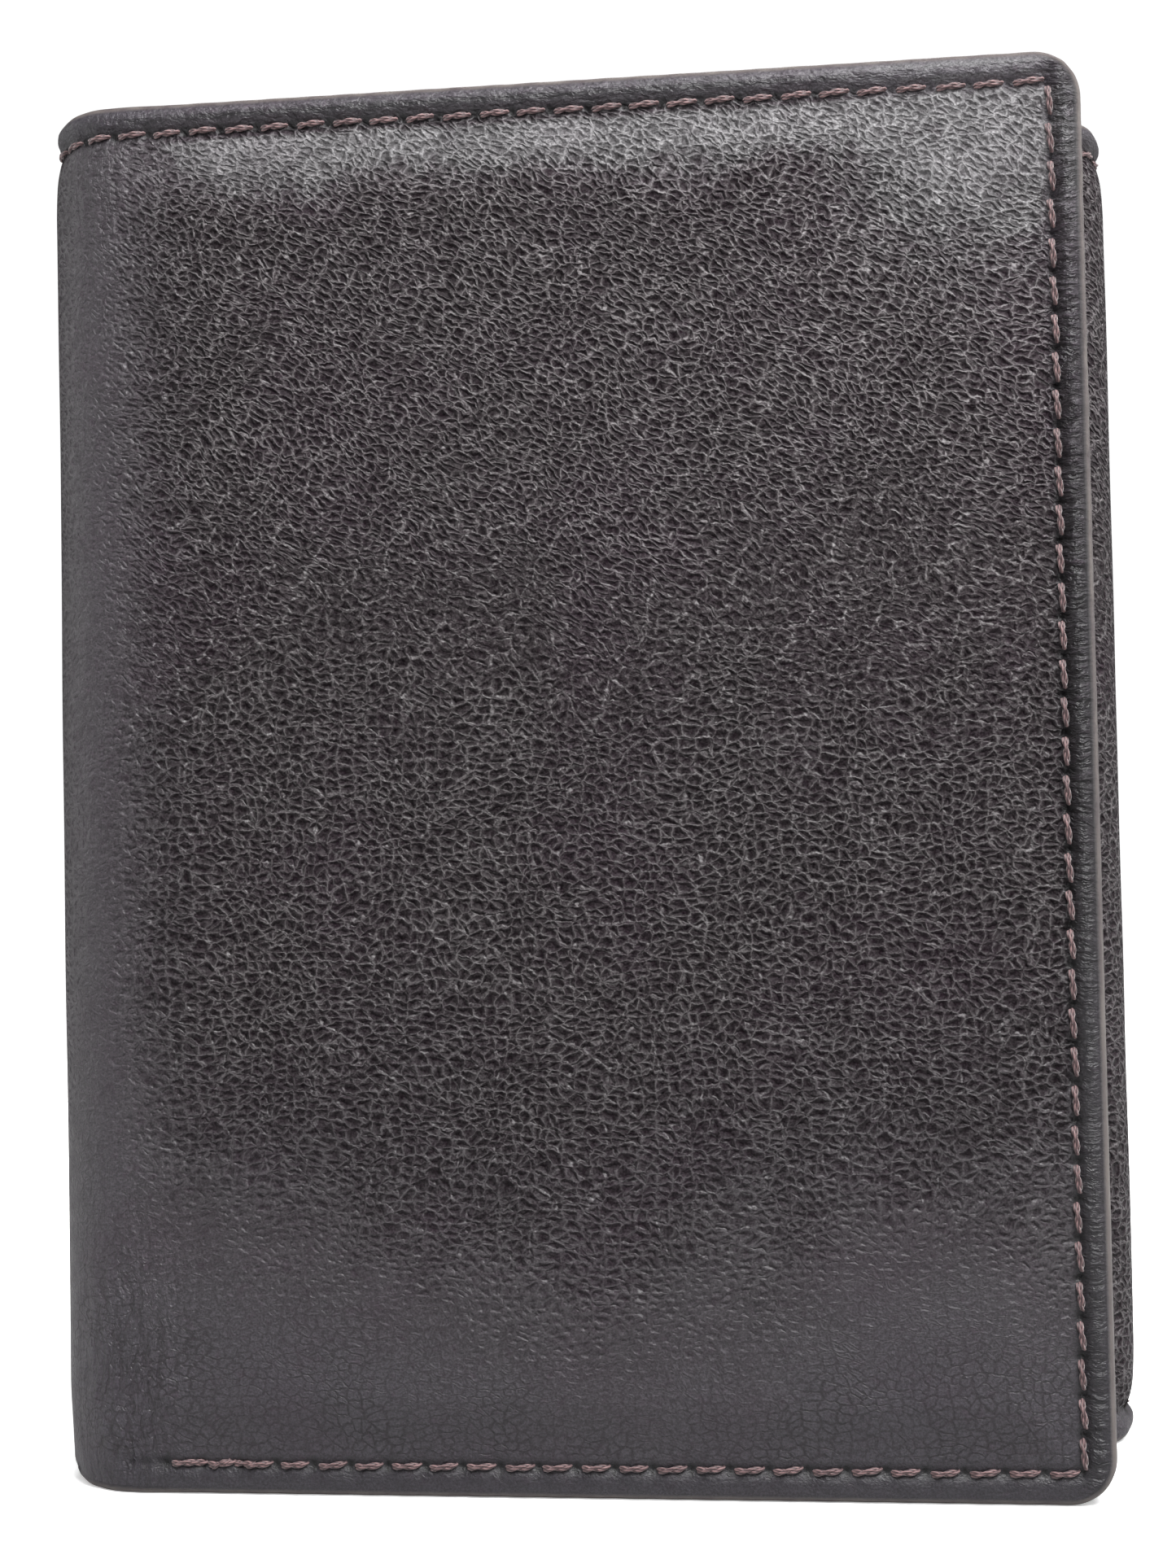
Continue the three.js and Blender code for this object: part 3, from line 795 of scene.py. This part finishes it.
def shell_marks(strip):
    """How strong each surface effect of the shell leather is along the strip."""
    s, z = strip[:, 0], strip[:, 1]
    d = edge_distance(s, z)
    front = on_front(s)
    folds = fold_share(s)
    to_top = HEIGHT - z

    uneven = z + 5 * noise(s / 13, z / 13, 81) + 2 * noise(s / 4, z / 4, 82)
    outside = smoothstep(LEFT.start - 4, LEFT.start + 2, -s)
    grain = 1 - (0.2 + 0.8 * outside) * (1 - smoothstep(-6, 46, uneven))
    grain *= 0.25 + 0.75 * (smoothstep(-LEFT.end + 4, -LEFT.end - 9, s) + smoothstep(-LEFT.end, -LEFT.start, s))
    grain = np.clip(grain, 0, 1) * (0.2 + 0.8 * smoothstep(2.0, 3.4, d))

    # Painted highlight: a bright, mottled band just under the front's top seam and a bright patch near its upper
    # free corner. The leather there also has less grain and fewer cracks.
    band_end = 10 + 2 * noise(s / 6, z / 9, 83)
    highlight_band = front * smoothstep(2.6, 3.6, to_top) * (1 - smoothstep(4.5, band_end, to_top))
    corner = front * bump(to_top, 8, 8) * bump(s - FRONT_END, 8, 9)
    polish_and_highlight = np.clip(highlight_band + corner, 0, 1)
    grain = grain * (1 - 0.5 * polish_and_highlight)
    cracks = (1 - grain) * smoothstep(2.6, 3.6, d) * (1 - polish_and_highlight)

    # Painted light and shade in the tone mark: the upper front, most of all towards its free edge, and the folds
    # are lighter; the rim beside the outline is darker; painted highlight lines with a shaded line between run
    # along the front's top edge. The front's free edge is also darker lower down.
    tone = 0.18 * front * smoothstep(50, 95, z) * smoothstep(-LEFT.end - 8, FRONT_END + 6, s)
    tone += 1.7 * polish_and_highlight * (1 + 0.45 * noise(s / 1.1, z / 1.1, 84) + 0.3 * noise(s / 5, z / 3, 85))
    tone -= 0.35 * bump(d, 1.5, 0.8) * (1 - 0.5 * folds)
    tone += 0.15 * folds + 0.1 * bump(-s, LEFT.end, 6)
    tone += front * (0.7 * bump(to_top, 0.8, 0.25) - 0.4 * bump(to_top, 1.3, 0.3) + 0.5 * bump(to_top, 1.7, 0.25))
    tone -= 0.25 * bump(s - FRONT_END, 0.8, 1.4) * (1 - smoothstep(45, 75, z))
    # Painted shade in the seam's groove and its needle holes.
    rhythm, sewn = seam_pattern(s, z)
    holes = np.clip(rhythm, 0, 1) ** 4 * bump(d, SEAM_INSET, 0.45)
    tone -= sewn * (0.35 * bump(d, SEAM_INSET, 0.5) + 0.8 * holes)

    crumple = rumpled(z) * bump(s - FRONT_END, 1.3, 1.0) + 0.25 * bump(to_top, 1.3, 0.7)
    return {
        "grain": grain,
        "cracks": cracks,
        "tone": np.maximum(tone, -0.9),
        "crumple": np.clip(crumple, 0, 1),
        "gather": np.clip(pull_reach(s, z), 0, 1),
    }


def shell_top(s, z):
    return -relief(s, z)


def hem_depth(s, z):
    """The hem is thicker along a free leaf than round the folds."""
    away = np.maximum(-s - LEFT.end, s - RIGHT.end)
    return LEATHER + (HEM - LEATHER) * smoothstep(0.5, 7, away)


def z_grid():
    near = np.arange(-9, 9) * SIDE_PITCH / 16
    fine = np.concatenate([SEAM_INSET + near, HEIGHT - SEAM_INSET - near])
    field = SEAM_INSET + SIDE_PITCH / 2
    rows = np.arange(field, HEIGHT - field + 0.01, SIDE_PITCH / DIVISIONS)
    return merged_lines(0, HEIGHT, [RIM, HEIGHT - RIM], fine, rows)


Z_LINES = z_grid()


def s_grid(low, high):
    near = np.arange(-9, 9) * TOP_PITCH / 16
    fine = np.concatenate([TOP_HOLES[0] + near, TOP_HOLES[-1] - near])
    columns = np.arange(TOP_HOLES[0], TOP_HOLES[-1], TOP_PITCH / DIVISIONS)
    columns = columns[(columns > FRONT_END + SEAM_INSET + 1.3) & (columns < INNER_END - SEAM_INSET - 1.3)]
    ends = np.array([low + 0.08, low + 0.2, high - 0.08, high - 0.2])
    return merged_lines(low, high, [FRONT_END + RIM, INNER_END - RIM], fine, columns, ends)


def ride(piece, body, slot, *nodes):
    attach(piece, body)
    if nodes:
        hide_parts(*nodes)


def bend(piece, fold, number, slot, *nodes):
    """Bakes a fold piece's transform into its mesh and hides the imported nodes that it stands in for."""
    reach = fold.radius - FOLD_INNERMOST
    for k in (number, number + 1):
        spot = fold.centre + reach * fold.ray(k * fold.turn)
    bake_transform(piece)
    if nodes:
        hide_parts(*nodes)


def build_shell():
    leaves = (("front", FRONT_END, -LEFT.end, ("high",)),
              ("middle", -LEFT.start, RIGHT.start, ("low", "high")),
              ("inner", RIGHT.end, INNER_END, ("low",)))
    for body, low, high, joined in leaves:
        piece = sheet(body + "_leather", s_grid(low, high), Z_LINES, shell_top, hem_depth, RIM, SHELL_LEATHER,
                      corner=CORNER, joined=joined, hem=(HEM_WIDTH, LEATHER), dip=fold_dip, extra=shell_marks)
        ride(piece, body, "shell_leather", body + "_shell")
    for fold in FOLDS:
        for number in range(3):
            piece = sheet(f"{fold.name}_fold_leather_{number + 1}_skin", s_grid(*fold.span(number)), Z_LINES,
                          shell_top, hem_depth, RIM, SHELL_LEATHER, joined=("low", "high"), dip=fold_dip,
                          extra=shell_marks)
            bend(piece, fold, number, "shell_leather", *fold.staves("leather", number))


def split_by_body(runs):
    """Groups stitches by the leaf or the fold's hinge that they lie on."""
    groups = {}
    for start, end in runs:
        key = ("middle", None)
        for fold in FOLDS:
            past = fold.side * (start[0] + end[0]) / 2 - fold.start
            if past > fold.radius * fold.total:
                key = (fold.chain[-1], None)
            elif past > 0:
                key = (fold, int(past / (fold.radius * fold.turn)))
        groups.setdefault(key, []).append((start, end))
    return groups


def build_shell_seams():
    runs = []
    top_z, low_z = HEIGHT - SEAM_INSET, SEAM_INSET
    for a, b in zip(TOP_HOLES[:-1], TOP_HOLES[1:]):
        runs.append(((a, top_z), (b, top_z)))
        middle = (a + b) / 2
        bare = BOTTOM_START < middle < -LEFT.start + 0.5
        if not bare and not RIGHT.start + 4 < middle < RIGHT.end - 3:
            runs.append(((a, low_z), (b, low_z)))
    for end_s in (TOP_HOLES[0], TOP_HOLES[-1]):
        for a, b in zip(SIDE_HOLES[:-1], SIDE_HOLES[1:]):
            runs.append(((end_s, a), (end_s, b)))
    last_front = max(r[1][0] for r in runs if r[1][1] == low_z and r[1][0] < -LEFT.end)
    for k in range(3):
        start = last_front - 1.3 - 1.9 * k
        lift = 0.16 if k % 2 else -0.14
        runs.append(((start - 2.2, low_z + lift), (start, low_z - lift)))
    packed_threads = {"front": ["front_seam_thread"], "inner": ["inner_seam_thread"],
                      "middle": ["middle_top_thread", "middle_bottom_thread"]}
    for (place, number), group in split_by_body(runs).items():
        if number is None:
            piece = stitches(f"{place}_shell_stitches", group, shell_top, THREAD, dip=fold_dip)
            ride(piece, place, "seam_thread", *packed_threads[place])
        else:
            name = f"{place.name}_fold_stitches_{number + 1}"
            bend(stitches(name, group, shell_top, THREAD, dip=fold_dip), place, number, "seam_thread")


def build_frayed_end():
    """The loose end of the bottom seam, a small tuft on the right fold."""
    root = np.array([RIGHT.start + RIGHT.radius * RIGHT.turn * 1.45, SEAM_INSET])
    tufts = []
    for angle, length in zip(np.radians(FRAY_ANGLES), FRAY_LENGTHS):
        tufts.append((root, root + length * np.array([math.cos(angle), math.sin(angle)])))
    knot = [(root - (0, 0.9), root + (0, 0.6))]
    for name, runs, radius in (("right_fold_frayed_fibres", tufts, 0.1),
                               ("right_fold_seam_knot", knot, 0.34)):
        piece = stitches(name, runs, shell_top, THREAD, slant=0.1, radius=radius, dip=fold_dip)
        bend(piece, RIGHT, 1, "seam_thread")


# The inside ----------------------------------------------------------------------------------------------


def lining_face(s):
    """Depth of the lining's inner face. It hugs the leather round a fold and passes over a leaf's board."""
    middle_low, middle_high = leaf_span("middle_stiffener")
    over_front = smoothstep(0, -leaf_span("front_padding")[1][0] - LEFT.end, -s - LEFT.end)
    over_inner = smoothstep(0, leaf_span("inner_stiffener")[0][0] - RIGHT.end, s - RIGHT.end)
    over_middle = smoothstep(0, middle_low[0] + LEFT.start, s + LEFT.start)
    over_middle *= smoothstep(0, RIGHT.start - middle_high[0], RIGHT.start - s)
    depth = np.full_like(s, FOLD_LINING_FACE)
    for leaf, share in (("front", over_front), ("inner", over_inner), ("middle", over_middle)):
        depth += (leaf_span(leaf + "_lining")[1][2] - FOLD_LINING_FACE) * share
    return depth

def build_linings():
    bottom_z, top_z = leaf_span("middle_lining")[0][1], leaf_span("middle_lining")[1][1]
    rows = even_lines(bottom_z, top_z, 2.0)

    def face(s, z):
        return lining_face(s) - 0.02 + 0.02 * noise(s / 3, z / 5, 41)

    def back(s, z):
        return lining_face(s) - LINING_THICKNESS

    leaves = (("front", leaf_span("front_lining")[0][0], -LEFT.end, ("high",)),
              ("middle", -LEFT.start, RIGHT.start, ("low", "high")),
              ("inner", RIGHT.end, leaf_span("inner_lining")[1][0], ("low",)))
    for body, low, high, joined in leaves:
        piece = sheet(body + "_lining_cloth", even_lines(low, high, 1.0), rows, face, back, CLOTH_RIM, LINING,
                      joined=joined, rim_steps=2)
        ride(piece, body, "lining_fabric", body + "_lining")
    for fold in FOLDS:
        for number in range(3):
            piece = sheet(f"{fold.name}_fold_lining_{number + 1}_cloth", even_lines(*fold.span(number), 0.5),
                          rows, face, back, CLOTH_RIM, LINING, joined=("low", "high"), rim_steps=2)
            bend(piece, fold, number, "lining_fabric", *fold.staves("lining", number))

def pocket_marks(strip):
    wear = noise(strip[:, 0] / 9, strip[:, 1] / 11, 52)
    return {"grain": 0.8 + 0.2 * wear, "tone": 0.12 * wear}


def pocket(node, body, sewn_from=None, corner=1.2, turned=3.0):
    """A flat pocket panel with a turned, stitched mouth, sewn down at its sides from sewn_from upwards."""
    low, high = leaf_span(node)
    rim = min(POCKET_RIM, 0.48 * (high[2] - low[2]))
    face_depth = high[2] - 0.03

    def face(s, z):
        from_mouth = high[1] - z
        from_side = np.minimum(s - low[0], high[0] - s)
        height = 0.07 * (1 - smoothstep(turned - 0.4, turned + 0.2, from_mouth))
        height = height - 0.05 * bump(from_mouth, MOUTH_SEAM, 0.35) - 0.05 * bump(from_side, SIDE_SEAM, 0.35)
        height = height + 0.02 * noise(s / 6, z / 8, 51)
        return face_depth - 0.07 + height

    def back(s, z):
        return np.full_like(s, low[2])

    near_top = high[1] - np.array([0.3, 0.6, 1.0, 1.3, 1.6, 1.9, 2.3, 2.7, 3.0, 3.3])
    rows = merged_lines(low[1], high[1], [low[1] + rim, high[1] - rim], near_top,
                        even_lines(low[1], high[1], 1.5))
    near_side = np.array([0.4, 0.8, 1.15, 1.5, 1.85, 2.3])
    columns = merged_lines(low[0], high[0], [low[0] + rim, high[0] - rim], low[0] + near_side,
                           high[0] - near_side, even_lines(low[0], high[0], 1.5))
    piece = sheet(node + "_leather", columns, rows, face, back, rim, INNER_LEATHER, corner=corner,
                  rim_steps=3, extra=pocket_marks)
    ride(piece, body, "inner_leather", node)
    sewn_from = low[1] if sewn_from is None else sewn_from
    runs = line_of_stitches((low[0] + 3, high[1] - MOUTH_SEAM), (high[0] - 3, high[1] - MOUTH_SEAM))
    for side_s in (low[0] + SIDE_SEAM, high[0] - SIDE_SEAM):
        runs += line_of_stitches((side_s, sewn_from + 0.8), (side_s, high[1] - MOUTH_SEAM - 0.5))
    if sewn_from == low[1]:
        runs += line_of_stitches((low[0] + 3, low[1] + SIDE_SEAM), (high[0] - 3, low[1] + SIDE_SEAM))
    fine_seam(node + "_stitches", body, runs, face)

def fine_seam(name, body, runs, face):
    thread = stitches(name, runs, face, FINE_STITCHES, slant=0.05, radius=FINE_THREAD, way=-1)
    ride(thread, body, "seam_thread")


def line_of_stitches(start, end, pitch=FINE_PITCH):
    start, end = np.array(start, float), np.array(end, float)
    count = max(1, int(round(np.linalg.norm(end - start) / pitch)))
    marks = [start + (end - start) * k / count for k in range(count + 1)]
    gap = (end - start) / count * 0.1
    return [(tuple(a + gap), tuple(b - gap)) for a, b in zip(marks[:-1], marks[1:])]


def divider(node, body):
    """A cloth flap with a folded top edge, which splits the bill compartment."""
    low, high = leaf_span(node)
    rim = 0.48 * (high[2] - low[2])
    hem = high[1] - DIVIDER_HEM

    def face(s, z):
        return high[2] - 0.03 * smoothstep(0, 0.4, hem - z) - 0.02 * np.abs(noise(s / 7, z / 9, 61))

    def back(s, z):
        return np.full_like(s, low[2])

    rows = merged_lines(low[1], high[1], [hem, hem - 0.4], even_lines(low[1], high[1], 2.0))
    piece = sheet(node + "_cloth", even_lines(low[0], high[0], 1.5), rows, face, back, rim, LINING,
                  corner=1.0, rim_steps=2)
    ride(piece, body, "lining_fabric", node)


def board(node, body, material):
    """The stiffener or padding between a leaf's leather and its lining."""
    low, high = leaf_span(node)

    def face(s, z):
        return high[2] - 0.03 * np.abs(noise(s / 5, z / 5, 91))

    def back(s, z):
        return np.full_like(s, low[2])

    piece = sheet(node + "_board", even_lines(low[0], high[0], 2.0), even_lines(low[1], high[1], 2.0),
                  face, back, BOARD_RIM, material, corner=2.0, rim_steps=2)
    ride(piece, body, "stiffener_board", node)


def rounded_outline(low_s, high_s, low_z, high_z, radius, per_side=24, per_corner=8):
    """Points round a rounded rectangle, the same number on each side whatever its size."""
    arcs = []
    for corner_s, corner_z, way_s, way_z, first in ((high_s, low_z, -1, 1, -90), (high_s, high_z, -1, -1, 0),
                                                    (low_s, high_z, 1, -1, 90), (low_s, low_z, 1, 1, 180)):
        angles = np.radians(first + 90 * np.arange(per_corner + 1) / per_corner)
        arcs.append(np.column_stack([corner_s + way_s * radius + radius * np.cos(angles),
                                     corner_z + way_z * radius + radius * np.sin(angles)]))
    t = np.linspace(0, 1, per_side + 2)[1:-1, None]
    out = []
    for arc, following in zip(arcs, arcs[1:] + arcs[:1]):
        out += [arc, arc[-1] * (1 - t) + following[0] * t]
    return np.concatenate(out)

def build_window():
    """A leather frame sewn round a clear sheet."""
    low, high = leaf_span("id_window_frame")
    points = node_points("id_window_frame")
    inner = points[(points[:, 0] > low[0] + 2) & (points[:, 0] < high[0] - 2)
                   & (points[:, 2] > low[1] + 2) & (points[:, 2] < high[1] - 2)]
    hole_low, hole_high = inner.min(0), inner.max(0)
    outer_line = rounded_outline(low[0], high[0], low[1], high[1], WINDOW_CORNER)
    hole_line = rounded_outline(hole_low[0], hole_high[0], hole_low[2], hole_high[2], WINDOW_CORNER)
    width = hole_low[0] - low[0]
    profile = []
    for angle in np.linspace(0, math.pi / 2, 4):
        profile.append((FRAME_RIM * (1 - math.cos(angle)), high[2] - FRAME_RIM * (1 - math.sin(angle))))
    for reach in np.concatenate([np.linspace(0.6, 2.4, 7), np.linspace(3.2, width - 1.6, 5),
                                 width - np.array([1.3, 0.9, 0.5])]):
        dent = 0.06 * bump(reach, SIDE_SEAM, 0.3) + 0.05 * bump(reach, width - 1.3, 0.3)
        profile.append((reach, high[2] - dent))
    for angle in np.linspace(math.pi / 2, 0, 4):
        depth = high[2] - FRAME_RIM * (1 - math.sin(angle))
        profile.append((width - FRAME_RIM * (1 - math.cos(angle)), depth))
    profile += [(width, low[2]), (width / 2, low[2]), (0, low[2])]
    rings = []
    for reach, depth in profile:
        line = outer_line + (hole_line - outer_line) * reach / width
        rings.append(np.column_stack([line, np.full(len(line), depth)]))
    count = len(outer_line)
    strip = np.concatenate(rings)
    index = np.arange(len(strip)).reshape(len(rings), count)
    a, b = index, np.roll(index, -1, 0)
    faces = quads(a, np.roll(a, -1, 1), np.roll(b, -1, 1), b)
    marks = {"edge": np.zeros(len(strip)), **pocket_marks(strip)}
    piece = strip_mesh("id_window_frame_leather", strip, faces, INNER_LEATHER, marks)
    ride(piece, "middle", "inner_leather", "id_window_frame")

    def face(s, z):
        return np.full_like(s, high[2] - 0.05)

    s0, s1, z0, z1 = low[0] + SIDE_SEAM, high[0] - SIDE_SEAM, low[1] + SIDE_SEAM, high[1] - SIDE_SEAM
    runs = line_of_stitches((s0, z0), (s1, z0)) + line_of_stitches((s0, z1), (s1, z1))
    runs += line_of_stitches((s0, z0), (s0, z1)) + line_of_stitches((s1, z0), (s1, z1))
    fine_seam("id_window_stitches", "middle", runs, face)

    low, high = leaf_span("id_window_sheet")

    def clear_face(s, z):
        return high[2] - 0.04 + 0.04 * noise(s / 14, z / 18, 71)

    def clear_back(s, z):
        return clear_face(s, z) - SHEET_THICKNESS

    piece = sheet("id_window_clear_sheet", even_lines(low[0], high[0], 2.0), even_lines(low[1], high[1], 2.0),
                  clear_face, clear_back, SHEET_RIM, WINDOW, corner=1.0, rim_steps=2)
    ride(piece, "middle", "clear_window", "id_window_sheet")


def build_inside():
    build_linings()
    for node, body in (("front_bill_divider", "front"), ("middle_bill_divider", "middle")):
        divider(node, body)
    for node, body in (("front_inner_wall", "front"), ("middle_inner_wall", "middle"),
                       ("inner_wall", "inner"), ("inner_slip_pocket", "inner")):
        pocket(node, body)
    slots = ("card_slot_1", "card_slot_2", "card_slot_3")
    for slot_node, in_front in zip(slots, slots[1:] + (None,)):
        pocket(slot_node, "front", leaf_span(in_front)[1][1] if in_front else None)
    build_window()
    for node, body, material in (("front_padding", "front", FOAM), ("middle_stiffener", "middle", BOARD),
                                 ("inner_stiffener", "inner", BOARD)):
        board(node, body, material)


build_shell()
build_shell_seams()
build_frayed_end()
build_inside()

# Stage ---------------------------------------------------------------------------------------------------


def soft_light(name, place, target, size, watts):
    lamp = bpy.data.lights.new(name, "AREA")
    lamp.energy = watts
    lamp.size = size
    light = new_object(name, lamp)
    light.location = place
    way = Vector(target) - Vector(place)
    light.rotation_euler = way.to_track_quat("-Z", "Y").to_euler()


def build_stage():
    floor_mesh = bpy.data.meshes.new("floor")
    reach = FLOOR_REACH
    corners = [(-reach, -reach, 0), (reach, -reach, 0), (reach, reach, 0), (-reach, reach, 0)]
    floor_mesh.from_pydata(corners, [], [(0, 1, 2, 3)])
    n = Nodes("floor")
    seen = n.add("ShaderNodeLightPath").outputs["Is Camera Ray"]
    n.set(Base_Color=n.mix(seen, (0.5, 0.5, 0.5, 1), (0.95, 0.95, 0.95, 1)), Roughness=0.9,
          Specular_IOR_Level=0.1, Emission_Color=(1, 1, 1, 1), Emission_Strength=n.times(seen, 0.42))
    floor_mesh.materials.append(n.material)
    new_object("floor", floor_mesh)

    world = bpy.data.worlds.new("studio")
    bpy.context.scene.world = world
    world.use_nodes = True
    tree = world.node_tree
    background = tree.nodes["Background"]
    path = tree.nodes.new("ShaderNodeLightPath")
    strength = tree.nodes.new("ShaderNodeMapRange")
    tree.links.new(path.outputs["Is Camera Ray"], strength.inputs["Value"])
    strength.inputs["To Min"].default_value = 0.12
    strength.inputs["To Max"].default_value = 1.05
    tree.links.new(strength.outputs[0], background.inputs["Strength"])
    background.inputs["Color"].default_value = (1, 1, 1, 1)

    lamp = bpy.data.lights.new("key", "SUN")
    lamp.energy = 2.7
    lamp.angle = math.radians(30)
    key = new_object("key", lamp)
    key.rotation_euler = Euler((math.radians(24), math.radians(18), 0))

    soft_light("top", (0.05, -0.17, 0.25), (0.0, -0.02, 0.1), 0.18, 0.9)
    soft_light("left", (-0.30, 0.03, 0.12), (-0.04, -0.01, 0.05), 0.3, 0.35)
    soft_light("right", (0.30, 0.02, 0.14), (0.04, -0.01, 0.06), 0.3, 0.3)
    soft_light("back", (0.06, 0.34, 0.24), (0, 0, 0.055), 0.3, 1.2)

    bpy.context.scene.view_settings.view_transform = "Standard"


def build_camera():
    lens = bpy.data.cameras.new("camera")
    lens.lens = CAMERA_LENS
    lens.sensor_width = 36
    lens.sensor_fit = "AUTO"
    lens.clip_start = 0.005
    camera = new_object("camera", lens)
    yaw, pitch, roll = (math.radians(turn) for turn in CAMERA_TURNS)
    aim = Matrix.Rotation(yaw, 4, "Z") @ Matrix.Rotation(math.pi / 2 + pitch, 4, "X")
    camera.matrix_world = Matrix.Translation(CAMERA_PLACE) @ aim @ Matrix.Rotation(roll, 4, "Z")
    bpy.context.scene.camera = camera


build_stage()
build_camera()
